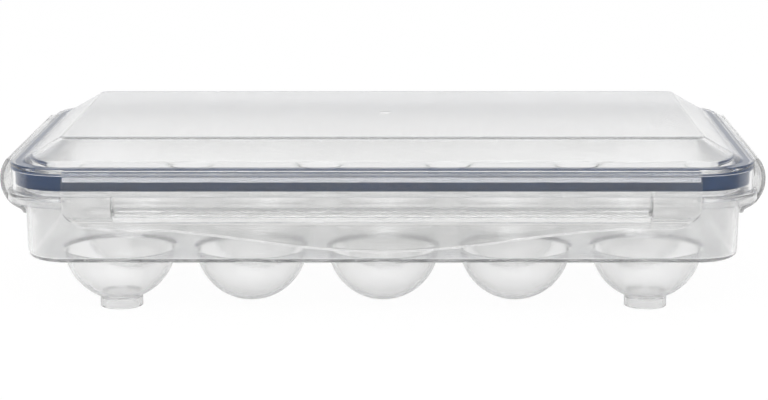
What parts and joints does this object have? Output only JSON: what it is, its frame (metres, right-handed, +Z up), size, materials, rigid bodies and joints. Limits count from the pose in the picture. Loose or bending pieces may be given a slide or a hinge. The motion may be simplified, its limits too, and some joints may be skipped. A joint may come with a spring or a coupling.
{
  "type": "clip-lid egg keeper",
  "caption": "Shallow rectangular food box with a tray of round egg cups on ring feet, a clear raised lid, a soft seal and a hinged clip flap along each side.",
  "frame": {"origin": "on the surface that the feet stand on, midway between them, under the middle of the box", "axes": "+X along the length to the right, +Y to the back, +Z up through the lid; the front flap faces -Y"},
  "size_m": [0.2846, 0.1566, 0.0662],
  "materials": {
    "tray_plastic": "slightly frosted translucent moulding",
    "lid_plastic": "clear polished moulding",
    "flap_plastic": "clear polished moulding",
    "seal_silicone": "satin navy silicone"
  },
  "bodies": {
    "tray": {"tray_wall": "tray_plastic", "tray_deck": "tray_plastic", "cup_front_1": "tray_plastic", "cup_front_2": "tray_plastic", "cup_front_3": "tray_plastic", "cup_front_4": "tray_plastic", "cup_front_5": "tray_plastic", "cup_middle_1": "tray_plastic", "cup_middle_2": "tray_plastic", "cup_middle_3": "tray_plastic", "cup_middle_4": "tray_plastic", "cup_middle_5": "tray_plastic", "cup_back_1": "tray_plastic", "cup_back_2": "tray_plastic", "cup_back_3": "tray_plastic", "cup_back_4": "tray_plastic", "cup_back_5": "tray_plastic", "foot_front_left": "tray_plastic", "foot_front_right": "tray_plastic", "foot_back_left": "tray_plastic", "foot_back_right": "tray_plastic"},
    "lid": {"lid": "lid_plastic", "lid_seal": "seal_silicone", "right_hinge_web": "lid_plastic", "back_hinge_web": "lid_plastic", "left_hinge_web": "lid_plastic", "front_hinge_web": "lid_plastic"},
    "right_flap": {"right_flap": "flap_plastic"},
    "back_flap": {"back_flap": "flap_plastic"},
    "left_flap": {"left_flap": "flap_plastic"},
    "front_flap": {"front_flap": "flap_plastic"}
  },
  "joints": [
    {"name": "lid_lift", "type": "slide", "parent": "tray", "child": "lid", "axis": [0, 0, 1], "range_m": [0, 0.08]},
    {"name": "right_flap_hinge", "type": "hinge", "parent": "lid", "child": "right_flap", "pos_m": [0.13801, 0, 0.057], "axis": [0, -1, 0], "range_deg": [0, 130]},
    {"name": "back_flap_hinge", "type": "hinge", "parent": "lid", "child": "back_flap", "pos_m": [0, 0.07403, 0.057], "axis": [1, 0, 0], "range_deg": [0, 130]},
    {"name": "left_flap_hinge", "type": "hinge", "parent": "lid", "child": "left_flap", "pos_m": [-0.13801, 0, 0.057], "axis": [0, 1, 0], "range_deg": [0, 130]},
    {"name": "front_flap_hinge", "type": "hinge", "parent": "lid", "child": "front_flap", "pos_m": [0, -0.07403, 0.057], "axis": [-1, 0, 0], "range_deg": [0, 130]}
  ]
}
